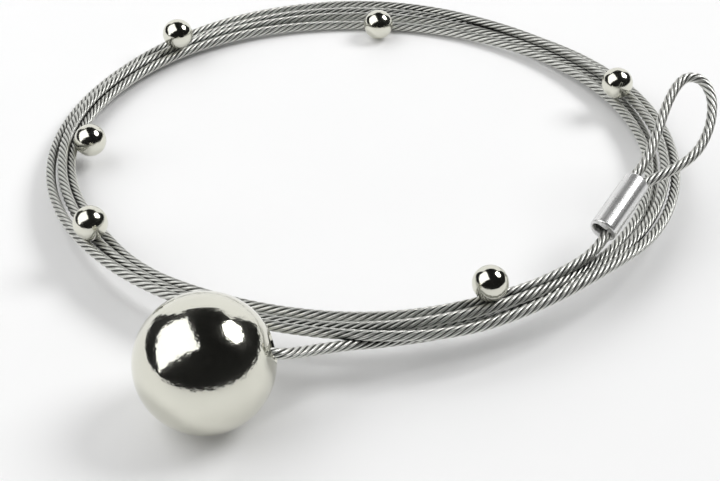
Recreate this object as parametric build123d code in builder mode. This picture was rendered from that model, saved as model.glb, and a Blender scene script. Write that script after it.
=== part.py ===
from build123d import *
from math import cos, radians, sin, tan
import os

# Magnetic photo rope, coiled up as it is stored: a stainless wire rope with a drilled ball
# weight on one end, a soft eye closed by a pressed ferrule on the other, and six ball magnets
# that cling to the coil. Millimetres, +Z up. The origin lies on the table, in the middle of
# the rigid pieces.

os.makedirs("parts", exist_ok=True)

# Driving dimensions
rope_d = 1.5
ball_d = 18.4
bore_d = 4.2
bore_depth = 12.6
bore_chamfer = 0.35
drill_point_angle = 118
sleeve_d = 4.16
sleeve_length = 8.0
sleeve_chamfer = 0.3
ferrule_d = 4.0
ferrule_length = 10.3
ferrule_rim = 0.35
ferrule_mouth = 0.12
crimp_gap = 0.02
dead_end_recess = 0.9
magnet_d = 5.0

# The coil: its middle, and the outline of the bundle of turns every 30 degrees from the front,
# as (radius, height) of its middle and its half width and half height. The front is propped up
# by the ball, and the back lies on the table.
coil_center = Vector(0.5, 12.15, 0)
coil_start_angle = -90
coil_sections = [
    ((45.5, 5.3), (2.7, 1.9)),
    ((45.8, 5.0), (2.5, 1.9)),
    ((46.2, 4.0), (2.4, 1.6)),
    ((45.8, 3.1), (2.5, 1.4)),
    ((45.2, 2.1), (2.7, 1.2)),
    ((43.9, 1.5), (2.9, 1.2)),
    ((44.4, 1.1), (3.8, 0.9)),
    ((45.3, 1.2), (3.4, 1.0)),
    ((45.8, 1.7), (2.4, 1.3)),
    ((46.3, 2.6), (2.0, 1.8)),
    ((45.5, 3.7), (2.4, 1.8)),
    ((45.0, 5.0), (2.5, 1.9)),
]

# The ball stands on the table outside the coil, with its bore turned to the right and up.
ball_center = Vector(-19.5, -43.75, ball_d / 2)
bore_turn = 7
bore_tilt = 13

# The ferrule: the middle of its lower end, the way it points, and the way its two ropes lie
# side by side.
ferrule_low = Vector(34.2, -14.85, 7.95)
ferrule_dir = Vector(0.545, 0.805, 0.25)
ferrule_side = Vector(0.777, -0.422, -0.466)

# The magnets: (radius, angle, height) of each centre about the coil's middle
magnet_seats = [
    (43.7, -66.9, 9.4),
    (43.4, 19.4, 6.0),
    (38.3, 85.7, 2.7),
    (44.0, 134.8, 5.0),
    (42.0, 179.1, 4.4),
    (46.0, 213.5, 8.2),
]


def direction(turn, tilt):
    """A unit vector turned from +X about +Z and tilted up, both in degrees."""
    turn, tilt = radians(turn), radians(tilt)
    return Vector(cos(tilt) * cos(turn), cos(tilt) * sin(turn), sin(tilt))


def on_coil(radius, angle, height):
    """A point at a radius, an angle and a height about the coil's middle."""
    return coil_center + direction(angle, 0) * radius + Vector(0, 0, height)


bore_axis = direction(bore_turn, bore_tilt)
bore_up = direction(bore_turn, bore_tilt + 90)
bore_plane = Plane(origin=ball_center, x_dir=bore_up, z_dir=bore_axis)
bore_section = Plane(origin=ball_center, x_dir=bore_up, z_dir=-bore_plane.y_dir)
bore_mouth = (ball_d**2 - bore_d**2) ** 0.5 / 2
bore_bottom = bore_mouth - bore_depth
ferrule_plane = Plane(origin=ferrule_low, x_dir=ferrule_side, z_dir=ferrule_dir)


def in_bore(up, along, side=0):
    """A point in the ball, measured from its centre across and along the bore."""
    return bore_plane.from_local_coords(Vector(up, -side, along))


def in_eye(across, along):
    """A point in the plane of the eye, measured from the middle of the ferrule's lower end."""
    return ferrule_plane.from_local_coords(Vector(across, 0, along))


# Rope routes. The lead runs from the sleeve in the ball over the lip of the bore and down to
# the coil. The other end leaves the top of the coil, passes through the ferrule, goes round
# the eye and ends just inside the ferrule.
rope_pitch = rope_d / 2 + 0.03
lead_route = [
    in_bore(0, bore_bottom + 0.4),
    in_bore(0, 6.0),
    in_bore(-1.0, 9.6, -0.85),
    Vector(-6.9, -40.2, 8.0),
    Vector(-3.9, -37.9, 6.6),
    Vector(-0.6, -36.0, 5.5),
    Vector(3.4, -34.7, 4.7),
]
eye_route = [
    Vector(24.9, -24.6, 6.6),
    Vector(27.2, -23.1, 6.8),
    Vector(30.2, -20.9, 7.0),
    Vector(32.6, -18.6, 7.2),
    in_eye(rope_pitch, -0.4),
    in_eye(rope_pitch, ferrule_length + 0.2),
    in_eye(2.1, 13.1),
    in_eye(3.4, 16.1),
    in_eye(4.5, 19.2),
    in_eye(4.9, 22.4),
    in_eye(4.4, 25.9),
    in_eye(3.3, 29.0),
    in_eye(1.7, 31.4),
    in_eye(-0.7, 32.6),
    in_eye(-2.8, 31.2),
    in_eye(-3.2, 28.6),
    in_eye(-2.9, 25.6),
    in_eye(-2.3, 22.6),
    in_eye(-1.5, 19.5),
    in_eye(-0.9, 16.4),
    in_eye(-0.5, 13.3),
    in_eye(-rope_pitch, ferrule_length + 0.4),
    in_eye(-rope_pitch, dead_end_recess),
]


def bend_radii(route):
    """The largest arc that each corner's two runs allow."""
    radii = []
    for before, corner, after in zip(route, route[1:], route[2:]):
        turn = radians((corner - before).get_angle(after - corner))
        shorter_run = min((corner - before).length, (after - corner).length)
        radii.append(0.45 * shorter_run / tan(turn / 2))
    return radii


def rope_tube(route, name):
    """A plain round tube along the route, with its corners rounded by tangent arcs."""
    radii = bend_radii(route)
    with BuildPart() as tube:
        with BuildLine() as path:
            FilletPolyline(*route, radius=radii)
        middle_line = path.wire()
        with BuildSketch(Plane(origin=middle_line @ 0, z_dir=middle_line % 0)):
            Circle(rope_d / 2)
        sweep()
    straight_volume = middle_line.length * 3.14159 * rope_d**2 / 4
    print(name, "length", round(middle_line.length, 1), "radii", [round(r, 1) for r in radii])
    print(name, "volume ratio", round(tube.part.volume / straight_volume, 4))
    return tube


def save(piece, name):
    """Label a finished piece and write it as its own file."""
    piece.part.label = name
    export_step(piece.part, f"parts/{name}.step")


# Ball weight: a turned and polished steel ball with a blind drilled bore
with BuildPart() as weight_ball:
    with BuildSketch(bore_section):
        with BuildLine():
            ball_bottom, ball_top = (0, -ball_d / 2), (0, ball_d / 2)
            ThreePointArc(ball_bottom, (ball_d / 2, 0), ball_top)
            Line(ball_top, ball_bottom)
        make_face()
        with BuildLine():
            point_depth = bore_d / 2 / tan(radians(drill_point_angle / 2))
            Polyline(
                (0, bore_bottom - point_depth),
                (bore_d / 2, bore_bottom),
                (bore_d / 2, bore_mouth - bore_chamfer),
                (bore_d / 2 + 2 * bore_chamfer, bore_mouth + bore_chamfer),
                (0, bore_mouth + bore_chamfer),
                close=True,
            )
        make_face(mode=Mode.SUBTRACT)
    revolve(axis=Axis(ball_center, bore_axis))
save(weight_ball, "weight_ball")

# Sleeve pressed on the rope's end and set in the bottom of the bore
with BuildPart() as ball_sleeve:
    with BuildSketch(bore_plane.offset(bore_bottom + 0.1)):
        Circle(sleeve_d / 2)
        Circle(rope_d / 2 + crimp_gap, mode=Mode.SUBTRACT)
    extrude(amount=sleeve_length)
    outer_rims = ball_sleeve.edges().filter_by(GeomType.CIRCLE).group_by(SortBy.RADIUS)[-1]
    chamfer(outer_rims, sleeve_chamfer)
save(ball_sleeve, "ball_sleeve")

# Ferrule pressed round both ropes of the eye, with an oval bore
with BuildPart() as eye_ferrule:
    with BuildSketch(ferrule_plane):
        Circle(ferrule_d / 2)
    extrude(amount=ferrule_length)
    fillet(eye_ferrule.edges().filter_by(GeomType.CIRCLE), ferrule_rim)
    bore_height = rope_d + 2 * crimp_gap
    bore_width = bore_height + 2 * rope_pitch
    with BuildSketch(ferrule_plane):
        SlotOverall(bore_width, bore_height)
    extrude(amount=ferrule_length, mode=Mode.SUBTRACT)
    for end, flare in ((0, ferrule_mouth), (ferrule_length, -ferrule_mouth)):
        with BuildSketch(ferrule_plane.offset(end)):
            SlotOverall(bore_width + 2 * ferrule_mouth, bore_height + 2 * ferrule_mouth)
        with BuildSketch(ferrule_plane.offset(end + flare)):
            SlotOverall(bore_width, bore_height)
        loft(mode=Mode.SUBTRACT)
save(eye_ferrule, "eye_ferrule")

# The stretches of rope that aren't coiled
save(rope_tube(lead_route, "rope_lead"), "rope_lead")
save(rope_tube(eye_route, "rope_eye"), "rope_eye")

# The coil: one closed solid with the outer shape of its turns, lofted in two halves
section_count = len(coil_sections)
section_step = 360 / section_count
half_coil = section_count // 2
with BuildPart() as rope_coil:
    for first in (0, half_coil):
        for index in range(first, first + half_coil + 1):
            (radius, height), (half_width, half_height) = coil_sections[index % section_count]
            angle = coil_start_angle + section_step * index
            outward = direction(angle, 0)
            along = direction(angle + 90, 0)
            middle = on_coil(radius, angle, height)
            with BuildSketch(Plane(origin=middle, x_dir=outward, z_dir=along)):
                Ellipse(half_width, half_height)
        loft()
save(rope_coil, "rope_coil")

# Ball magnets, each a plated sphere
for number, seat in enumerate(magnet_seats, 1):
    with BuildPart() as magnet:
        with Locations(on_coil(*seat)):
            Sphere(magnet_d / 2)
    save(magnet, f"magnet_{number}")
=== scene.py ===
import math

import bmesh
import bpy
import numpy as np
from mathutils import Matrix, Vector


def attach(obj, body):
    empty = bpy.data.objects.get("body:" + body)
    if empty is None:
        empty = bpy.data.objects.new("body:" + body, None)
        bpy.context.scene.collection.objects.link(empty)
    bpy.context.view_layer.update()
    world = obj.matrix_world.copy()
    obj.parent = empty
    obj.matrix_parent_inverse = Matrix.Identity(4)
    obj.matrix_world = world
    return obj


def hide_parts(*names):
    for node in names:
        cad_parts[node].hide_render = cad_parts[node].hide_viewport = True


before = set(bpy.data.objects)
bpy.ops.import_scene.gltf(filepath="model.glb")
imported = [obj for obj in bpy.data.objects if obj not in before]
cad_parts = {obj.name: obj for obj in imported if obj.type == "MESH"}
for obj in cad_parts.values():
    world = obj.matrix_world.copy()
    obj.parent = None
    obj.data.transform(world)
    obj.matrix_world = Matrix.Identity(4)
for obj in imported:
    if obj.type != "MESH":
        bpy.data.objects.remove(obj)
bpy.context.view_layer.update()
MM = 0.001

# ---------------------------------------------------------------- camera
camera_data = bpy.data.cameras.new("camera")
camera_data.lens = 85
camera_data.sensor_width = 36
camera_data.clip_start = 0.01
camera = bpy.data.objects.new("camera", camera_data)
camera.location = (0.0002, -0.20375, 0.1539)
camera.rotation_euler = (math.radians(52), 0, 0)
bpy.context.scene.collection.objects.link(camera)
bpy.context.scene.camera = camera

# ---------------------------------------------------------------- rope route
# The same route as the CAD's, in millimetres: through the ball, round the coil, through the
# ferrule and round the eye.
ROPE_D = 1.5
COIL = np.array([0.5, 12.15, 0.0])
BALL = np.array([-19.5, -43.75, 9.2])
FERRULE_LOW = np.array([34.2, -14.85, 7.95])
FERRULE_DIR = np.array([0.545, 0.805, 0.25])
FERRULE_SIDE = np.array([0.777, -0.422, -0.466])
FERRULE_LENGTH = 10.3
PITCH = 0.78
BORE_BOTTOM = -3.64


def direction(turn, tilt):
    """A unit vector turned from +X about +Z and tilted up, both in degrees."""
    turn, tilt = math.radians(turn), math.radians(tilt)
    return np.array([math.cos(tilt) * math.cos(turn), math.cos(tilt) * math.sin(turn), math.sin(tilt)])


def unit(v):
    return v / np.linalg.norm(v)


BORE_AXIS = direction(7, 13)
BORE_UP = direction(7, 103)
BORE_SIDE = direction(97, 0)
FERRULE_DIR = unit(FERRULE_DIR)
FERRULE_SIDE = unit(FERRULE_SIDE - FERRULE_DIR * (FERRULE_SIDE @ FERRULE_DIR))


def in_bore(up, along, side=0):
    """A point in the ball, measured from its centre across and along the bore."""
    return BALL + BORE_UP * up + BORE_AXIS * along + BORE_SIDE * side


def in_eye(across, along):
    """A point in the plane of the eye, measured from the middle of the ferrule's lower end."""
    return FERRULE_LOW + FERRULE_SIDE * across + FERRULE_DIR * along


# How the turns lie: (radius, height) of the rope every 30 degrees from the front, turn by turn
LAY = [
    [(46.2, 3.8), (45.6, 4.9), (46.4, 5.2), (46.1, 4.2), (45.0, 3.0), (45.2, 1.8),
     (47.9, 0.9), (48.2, 0.8), (47.5, 1.1), (47.7, 2.7), (47.4, 5.0), (47.0, 6.5)],
    [(47.6, 6.7), (47.7, 6.1), (48.1, 4.8), (47.8, 3.2), (47.6, 1.6), (46.2, 0.8),
     (45.1, 1.2), (45.8, 1.2), (46.0, 1.0), (45.3, 1.3), (44.7, 2.5), (44.2, 3.5)],
    [(44.0, 3.9), (44.0, 3.7), (44.5, 2.9), (44.9, 2.0), (45.2, 1.2), (44.2, 0.8),
     (43.6, 1.1), (44.1, 1.4), (45.4, 2.4), (45.9, 3.9), (45.5, 4.9), (45.5, 5.8)],
    [(45.9, 6.5), (45.2, 6.6), (44.4, 4.5), (43.8, 3.2), (42.7, 2.1), (41.6, 1.1),
     (40.9, 0.8), (42.3, 1.4), (44.0, 1.8), (44.9, 2.8), (43.6, 4.5), (42.9, 5.4)],
    [(43.1, 5.9), (43.8, 6.7)],
]
# Corrections between those: (turn, degrees from the front): (outwards, up)
NUDGES = {
    (1, 15): (0.5, -0.4),
    (0, 45): (0.2, 0.8),
    (1, 30): (-0.2, 0.3),
    (1, 45): (-0.5, 1.3),
    (2, 45): (0.1, 0.1),
    (3, 45): (0.3, -0.1),
    (3, 315): (0.8, -0.4),
    (3, 330): (0.3, -0.1),
}
STEP = 15
PER_TURN = 360 // STEP
# How the turns are settled, round by round: the share of the way back that a place moves, and
# the share of an overlap that each of two ropes gives way
ROUNDS = 240
PULL = 0.03
PUSH = 0.45
LEAST_APART = ROPE_D * 1.01
# Two ropes' middles count as this far apart or more, so that none is pushed without a direction
LEAST_GAP = 0.2


def coil_turns():
    """The rope's (radius, height) every 15 degrees, so that no turn is in another or in the table."""
    knots = np.array([place for turn in LAY for place in turn])
    ends = np.vstack([2 * knots[0] - knots[1], knots, 2 * knots[-1] - knots[-2]])
    places = []
    # Each place, then the one halfway to the next on the cubic through four of them
    for a, b, c, d in zip(ends, ends[1:], ends[2:], ends[3:]):
        places.append(b)
        places.append((9 * (b + c) - a - d) / 16)
    places.append(knots[-1])
    places = np.array(places)
    for (turn, degrees), move in NUDGES.items():
        places[turn * PER_TURN + degrees // STEP] += move
    wanted = places.copy()
    for _ in range(ROUNDS):
        push = (wanted - places) * PULL
        for lag in range(PER_TURN, len(places), PER_TURN):
            apart = places[lag:] - places[:-lag]
            gap = np.maximum(np.linalg.norm(apart, axis=1), LEAST_GAP)
            short = np.maximum(LEAST_APART - gap, 0) * PUSH
            away = apart / gap[:, None] * short[:, None]
            push[lag:] += away
            push[:-lag] -= away
        soft = push.copy()
        soft[1:-1] = (push[:-2] + 2 * push[1:-1] + push[2:]) / 4
        places += soft
        places[:, 1] = np.maximum(places[:, 1], ROPE_D / 2)
    return places


def on_coil(radius, angle, height):
    """A point at a radius, an angle and a height about the coil's middle."""
    return COIL + direction(angle, 0) * radius + np.array([0, 0, height])


route = [
    in_bore(0, BORE_BOTTOM + 0.4),
    in_bore(0, 6.0),
    in_bore(-1.0, 9.6, -0.85),
    np.array([-6.9, -40.2, 8.0]),
    np.array([-3.9, -37.9, 6.6]),
    np.array([-0.6, -36.0, 5.5]),
    np.array([3.4, -34.7, 4.7]),
]
# A turn's points stand out a little, because the spline runs inside them
OUT = 1 / (0.75 + 0.25 * math.cos(math.radians(STEP)))
for index, (radius, height) in enumerate(coil_turns()):
    if index > 0:
        route.append(on_coil(radius * OUT, -90 + STEP * index, height))
route += [
    np.array([27.2, -23.1, 6.8]),
    np.array([30.2, -20.9, 7.0]),
    np.array([32.6, -18.6, 7.2]),
    in_eye(PITCH, -0.4),
    in_eye(PITCH, FERRULE_LENGTH + 0.2),
    in_eye(2.1, 13.1),
    in_eye(3.4, 16.1),
    in_eye(4.5, 19.2),
    in_eye(4.9, 22.4),
    in_eye(4.4, 25.9),
    in_eye(3.3, 29.0),
    in_eye(1.7, 31.4),
    in_eye(-0.7, 32.6),
    in_eye(-2.8, 31.2),
    in_eye(-3.2, 28.6),
    in_eye(-2.9, 25.6),
    in_eye(-2.3, 22.6),
    in_eye(-1.5, 19.5),
    in_eye(-0.9, 16.4),
    in_eye(-0.5, 13.3),
    in_eye(-PITCH, FERRULE_LENGTH + 0.4),
    in_eye(-PITCH, 0.4),
]


def spline_line(points):
    """The points along a smooth curve that has these control points, in millimetres."""
    data = bpy.data.curves.new("route", "CURVE")
    data.dimensions = "3D"
    data.resolution_u = 24
    spline = data.splines.new("NURBS")
    spline.points.add(len(points) - 1)
    for point, place in zip(spline.points, points):
        point.co = (*place, 1)
    spline.order_u = 3
    spline.use_endpoint_u = True
    shape = bpy.data.objects.new("route", data)
    mesh = bpy.data.meshes.new_from_object(shape)
    line = np.array([v.co for v in mesh.vertices])
    bpy.data.meshes.remove(mesh)
    bpy.data.objects.remove(shape)
    bpy.data.curves.remove(data)
    return line


def evenly(line, step):
    """The line again, with points about step apart."""
    along = np.concatenate([[0], np.cumsum(np.linalg.norm(np.diff(line, axis=0), axis=1))])
    at = np.linspace(0, along[-1], int(along[-1] / step) + 1)
    return np.stack([np.interp(at, along, line[:, k]) for k in range(3)], axis=1), at


def frames(line):
    """A direction across the line at each point that turns as little as it can, and its partner."""
    ahead = np.gradient(line, axis=0)
    ahead /= np.linalg.norm(ahead, axis=1)[:, None]
    side = np.zeros_like(ahead)
    side[0] = unit(np.cross(ahead[0], [0, 0, 1.0]))
    for i in range(1, len(line)):
        v = side[i - 1] - ahead[i] * (side[i - 1] @ ahead[i])
        side[i] = unit(v)
    return side, np.cross(ahead, side)


def tubes(name, tracks, radius, sides):
    """One mesh of round tubes along tracks. UVs: u round the tube, v along it. The attribute
    "outward" says how far a point faces away from the rope's middle."""
    mesh = bpy.data.meshes.new(name)
    bm = bmesh.new()
    uv = bm.loops.layers.uv.new("along")
    facing = bm.verts.layers.float.new("outward")
    for track, along, outward in tracks:
        side, up = frames(track)
        rings = []
        for k, place in enumerate(track):
            ring = []
            for s in range(sides):
                a = 2 * math.pi * s / sides
                out = side[k] * math.cos(a) + up[k] * math.sin(a)
                vert = bm.verts.new((place + out * radius) * MM)
                vert[facing] = out @ outward[k]
                ring.append(vert)
            rings.append(ring)
        for k in range(len(rings) - 1):
            for s in range(sides):
                face = bm.faces.new((rings[k][s], rings[k][(s + 1) % sides],
                                     rings[k + 1][(s + 1) % sides], rings[k + 1][s]))
                face.smooth = True
                corners = ((s, k), (s + 1, k), (s + 1, k + 1), (s, k + 1))
                for loop, (round_at, at) in zip(face.loops, corners):
                    loop[uv].uv = (round_at / sides, along[at] * MM)
        bm.faces.new(reversed(rings[0]))
        bm.faces.new(rings[-1])
    bm.to_mesh(mesh)
    bm.free()
    piece = bpy.data.objects.new(name, mesh)
    bpy.context.scene.collection.objects.link(piece)
    return piece


# ---------------------------------------------------------------- the stranded rope
LAY_LENGTH = 8.0
STRANDS = 6
STRAND_D = 0.5
STRAND_SIDES = 8
TRACK_STEP = 0.45
# Each strand is this much thicker than its share, so that they press into each other
STRAND_SWELL = 1.08

middle = spline_line(route)
line, along = evenly(middle, TRACK_STEP)
side, up = frames(line)
tracks = [(line, along, side * 0)]
for strand in range(STRANDS):
    a = 2 * math.pi * (strand / STRANDS - along / LAY_LENGTH)
    outward = side * np.cos(a)[:, None] + up * np.sin(a)[:, None]
    tracks.append((line + outward * STRAND_D, along, outward))
rope = tubes("rope_strands", tracks, STRAND_D / 2 * STRAND_SWELL, STRAND_SIDES)
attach(rope, "rope")
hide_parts("rope_lead", "rope_coil", "rope_eye")


# ---------------------------------------------------------------- node helpers
def material(name):
    made = bpy.data.materials.new(name)
    made.use_nodes = True
    nodes, links = made.node_tree.nodes, made.node_tree.links
    nodes.clear()
    shader = nodes.new("ShaderNodeBsdfPrincipled")
    out = nodes.new("ShaderNodeOutputMaterial")
    links.new(shader.outputs["BSDF"], out.inputs["Surface"])
    return made, nodes, links, shader


def place_of(nodes):
    return nodes.new("ShaderNodeTexCoord").outputs["Object"]


def noise(nodes, links, source, scale, detail=3, rough=0.5):
    node = nodes.new("ShaderNodeTexNoise")
    node.inputs["Scale"].default_value = scale
    node.inputs["Detail"].default_value = detail
    node.inputs["Roughness"].default_value = rough
    links.new(source, node.inputs["Vector"])
    return node.outputs["Fac"]


def ramp(nodes, links, value, low, high, start, end):
    """The value's range low to high turned into start to end."""
    node = nodes.new("ShaderNodeMapRange")
    node.inputs["From Min"].default_value = low
    node.inputs["From Max"].default_value = high
    node.inputs["To Min"].default_value = start
    node.inputs["To Max"].default_value = end
    links.new(value, node.inputs["Value"])
    return node.outputs["Result"]


def tint(nodes, links, value, dark, light):
    """A mix from dark at 0 to light at 1, where light is a colour or another node's output."""
    node = nodes.new("ShaderNodeMix")
    node.data_type = "RGBA"
    node.inputs["A"].default_value = (*dark, 1)
    if isinstance(light, tuple):
        node.inputs["B"].default_value = (*light, 1)
    else:
        links.new(light, node.inputs["B"])
    links.new(value, node.inputs["Factor"])
    return node.outputs["Result"]


def bump(nodes, links, shader, height, distance):
    node = nodes.new("ShaderNodeBump")
    node.inputs["Distance"].default_value = distance
    links.new(height, node.inputs["Height"])
    links.new(node.outputs["Normal"], shader.inputs["Normal"])


def calculate(nodes, links, operation, *values):
    """A Math node's result, from numbers and other nodes' outputs."""
    node = nodes.new("ShaderNodeMath")
    node.operation = operation
    for socket, value in zip(node.inputs, values):
        if isinstance(value, float):
            socket.default_value = value
        else:
            links.new(value, socket)
    return node.outputs["Value"]


def seen_directly(nodes, links):
    """1 for the camera's rays and for those that a mirror or glass passes on, and 0 for others."""
    path = nodes.new("ShaderNodeLightPath").outputs
    direct = calculate(nodes, links, "MAXIMUM", path["Is Camera Ray"], path["Is Glossy Ray"])
    return calculate(nodes, links, "MAXIMUM", direct, path["Is Transmission Ray"])


# ---------------------------------------------------------------- polished nickel
nickel, nodes, links, shader = material("polished_nickel")
where = place_of(nodes)
patches = noise(nodes, links, where, 260, 4)
ripples = noise(nodes, links, where, 1500, 2)
plate = tint(nodes, links, patches, (0.67, 0.665, 0.585), (0.77, 0.765, 0.68))
shader.inputs["Metallic"].default_value = 1
links.new(plate, shader.inputs["Base Color"])
links.new(ramp(nodes, links, patches, 0.3, 0.7, 0.08, 0.15), shader.inputs["Roughness"])
bump(nodes, links, shader, ripples, 0.00003)

# ---------------------------------------------------------------- rope steel
# Painted shade in the grooves between the strands
GROOVE_SHADE = (0.03, 0.03, 0.027)
# Painted shade where ropes press on each other, and how far that shade reaches
CONTACT_SHADE = (0.02, 0.02, 0.018)
CONTACT_SHADE_REACH = 0.0012
WIRES = 6
WIRE_LAY = 0.0045
WIRE_HEIGHT = 0.000008

steel, nodes, links, shader = material("rope_steel")
dirt = noise(nodes, links, place_of(nodes), 600)
bright = tint(nodes, links, dirt, (0.68, 0.685, 0.645), (0.88, 0.885, 0.84))
# Painted shade: the grooves between the strands are darkened by how far each point faces away from the
# rope's middle
facing = nodes.new("ShaderNodeAttribute")
facing.attribute_name = "outward"
crown = ramp(nodes, links, facing.outputs["Fac"], 0.1, 0.9, 0, 1)
strands = tint(nodes, links, crown, GROOVE_SHADE, bright)
# Painted shade: the rope is darkened where ropes press on each other, by the rope's own ambient
# occlusion
pressed = nodes.new("ShaderNodeAmbientOcclusion")
pressed.only_local = True
pressed.samples = 6
pressed.inputs["Distance"].default_value = CONTACT_SHADE_REACH
unshaded = ramp(nodes, links, pressed.outputs["AO"], 0.3, 0.8, 0, 1)
shader.inputs["Metallic"].default_value = 1
links.new(tint(nodes, links, unshaded, CONTACT_SHADE, strands), shader.inputs["Base Color"])
links.new(ramp(nodes, links, dirt, 0.3, 0.7, 0.36, 0.46), shader.inputs["Roughness"])
# Each strand's own wires are fine ridges that twist along it
uv = nodes.new("ShaderNodeUVMap")
uv.uv_map = "along"
parts = nodes.new("ShaderNodeSeparateXYZ")
links.new(uv.outputs["UV"], parts.inputs["Vector"])
ridge = WIRES * math.pi
turned = calculate(nodes, links, "MULTIPLY", parts.outputs["X"], ridge)
twisted = calculate(nodes, links, "MULTIPLY_ADD", parts.outputs["Y"], ridge / WIRE_LAY, turned)
wave = calculate(nodes, links, "SINE", twisted)
bump(nodes, links, shader, calculate(nodes, links, "ABSOLUTE", wave), WIRE_HEIGHT)

# ---------------------------------------------------------------- ferrule metal
aluminium, nodes, links, shader = material("ferrule_metal")
where = place_of(nodes)
dull = noise(nodes, links, where, 500)
# Drawing lines along the tube: noise that is stretched in the ferrule's direction
grain = nodes.new("ShaderNodeMapping")
grain.vector_type = "TEXTURE"
grain.inputs["Rotation"].default_value = Vector(FERRULE_DIR).to_track_quat("X", "Z").to_euler()
grain.inputs["Scale"].default_value = (40, 1, 1)
links.new(where, grain.inputs["Vector"])
drawn = noise(nodes, links, grain.outputs["Vector"], 3200, 3, 0.6)
lines = ramp(nodes, links, drawn, 0.3, 0.6, 0, 1)
shader.inputs["Metallic"].default_value = 0.75
links.new(tint(nodes, links, lines, (0.6, 0.6, 0.6), (0.87, 0.87, 0.86)), shader.inputs["Base Color"])
links.new(ramp(nodes, links, dull, 0.3, 0.7, 0.24, 0.32), shader.inputs["Roughness"])
bump(nodes, links, shader, drawn, 0.00002)

# ---------------------------------------------------------------- sleeve metal
sleeve, nodes, links, shader = material("sleeve_metal")
stain = noise(nodes, links, place_of(nodes), 700)
shader.inputs["Metallic"].default_value = 1
shader.inputs["Roughness"].default_value = 0.4
links.new(tint(nodes, links, stain, (0.4, 0.4, 0.4), (0.6, 0.6, 0.6)), shader.inputs["Base Color"])

rope.data.materials.append(steel)
finish_of = {"weight_ball": nickel, "ball_sleeve": sleeve, "eye_ferrule": aluminium}
for number in range(1, 7):
    finish_of[f"magnet_{number}"] = nickel
for name, look in finish_of.items():
    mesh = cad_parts[name].data
    mesh.materials.clear()
    mesh.materials.append(look)

# ---------------------------------------------------------------- floor and backdrop
FLOOR_GLOW = 0.045
ROOM_LIGHT = 0.2

floor_mesh = bpy.data.meshes.new("floor")
corners = [(-0.8, -1.0, 0), (0.8, -1.0, 0), (0.8, 1.2, 0), (-0.8, 1.2, 0)]
floor_mesh.from_pydata(corners, [], [(0, 1, 2, 3)])
floor = bpy.data.objects.new("floor", floor_mesh)
bpy.context.scene.collection.objects.link(floor)
paper, nodes, links, shader = material("white_table")
mottle = noise(nodes, links, place_of(nodes), 40)
shade = tint(nodes, links, mottle, (0.86, 0.86, 0.86), (0.88, 0.88, 0.88))
glow = calculate(nodes, links, "MULTIPLY", seen_directly(nodes, links), FLOOR_GLOW)
shader.inputs["Roughness"].default_value = 0.7
shader.inputs["Emission Color"].default_value = (1, 1, 1, 1)
links.new(shade, shader.inputs["Base Color"])
links.new(glow, shader.inputs["Emission Strength"])
floor_mesh.materials.append(paper)

# The world is white where it is seen, and lights the object far less than that
world = bpy.data.worlds.new("studio")
bpy.context.scene.world = world
world.use_nodes = True
nodes, links = world.node_tree.nodes, world.node_tree.links
nodes.clear()
either = nodes.new("ShaderNodeMixShader")
links.new(seen_directly(nodes, links), either.inputs["Fac"])
for socket, strength in ((1, ROOM_LIGHT), (2, 1)):
    background = nodes.new("ShaderNodeBackground")
    background.inputs["Color"].default_value = (1, 1, 1, 1)
    background.inputs["Strength"].default_value = strength
    links.new(background.outputs["Background"], either.inputs[socket])
out = nodes.new("ShaderNodeOutputWorld")
links.new(either.outputs["Shader"], out.inputs["Surface"])


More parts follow.
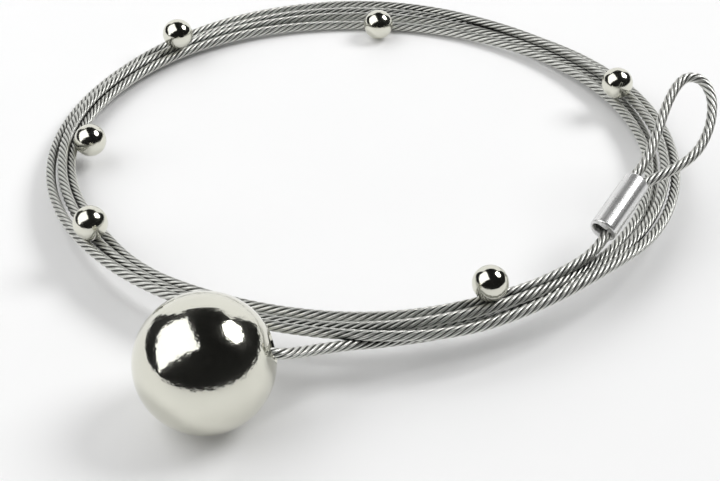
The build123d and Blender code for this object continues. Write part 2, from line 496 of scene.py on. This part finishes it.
# ---------------------------------------------------------------- lamps
def softbox(name, place, facing, wide, high, roll, radiance, shape="RECTANGLE", mirrored=True):
    """An area lamp at a place, facing a direction and rolled about it."""
    data = bpy.data.lights.new(name, "AREA")
    data.shape = shape
    data.size = wide
    data.size_y = high
    data.energy = radiance * math.pi * wide * high
    lamp = bpy.data.objects.new(name, data)
    lamp.location = place
    lamp.visible_glossy = mirrored
    aim = Vector(facing).to_track_quat("-Z", "Y").to_matrix()
    lamp.rotation_euler = (aim @ Matrix.Rotation(math.radians(roll), 3, "Z")).to_euler()
    bpy.context.scene.collection.objects.link(lamp)


softbox("softbox_left", (-0.71, 0.17, 0.66), (0.37, 0.6, -0.71), 0.96, 1.34, 48, 1.6)
softbox("softbox_right", (0.72, 0.24, 0.81), (-0.5, -0.18, -0.58), 0.62, 0.54, 20, 6.2, "ELLIPSE")
# The lit backdrop: mirrors see it as the white world behind the opening in the cards
softbox("backdrop_light", (-0.25, 0.95, 0.80), (0.18, -0.76, -0.62), 1.6, 1.2, 0, 0.9, mirrored=False)

# ---------------------------------------------------------------- black cards
# They stand round the camera's side and overhead, and only mirrors see them. All in degrees:
# up from the floor, and round from the back, where the opening is.
CARD_RADIUS = 1.6
UP_STEP = 5
ROUND_STEP = 10
OPENING = 40

rows = range(-35, 90, UP_STEP)
columns = range(-180, 180, ROUND_STEP)
bm = bmesh.new()
grid = {}
for up_by in rows:
    for round_by in columns:
        sight = direction(90 - round_by, up_by)
        grid[round_by, up_by] = bm.verts.new(sight * CARD_RADIUS)
for up_by in rows[:-1]:
    for round_by in columns:
        if -OPENING <= round_by < OPENING and up_by < OPENING:
            continue
        beside = round_by + ROUND_STEP
        if beside == 180:
            beside = -180
        above = up_by + UP_STEP
        bm.faces.new((grid[round_by, up_by], grid[beside, up_by],
                      grid[beside, above], grid[round_by, above]))
bm.faces.new([grid[round_by, rows[-1]] for round_by in columns])
bmesh.ops.delete(bm, geom=[v for v in bm.verts if not v.link_faces], context="VERTS")
card_mesh = bpy.data.meshes.new("black_cards")
bm.to_mesh(card_mesh)
bm.free()
cards = bpy.data.objects.new("black_cards", card_mesh)
bpy.context.scene.collection.objects.link(cards)
cards.visible_camera = False
cards.visible_diffuse = False
cards.visible_shadow = False
felt, nodes, links, shader = material("black_felt")
nap = noise(nodes, links, place_of(nodes), 3)
shader.inputs["Roughness"].default_value = 1
links.new(tint(nodes, links, nap, (0.01, 0.01, 0.01), (0.03, 0.03, 0.03)), shader.inputs["Base Color"])
card_mesh.materials.append(felt)

bpy.context.scene.view_settings.view_transform = "Standard"
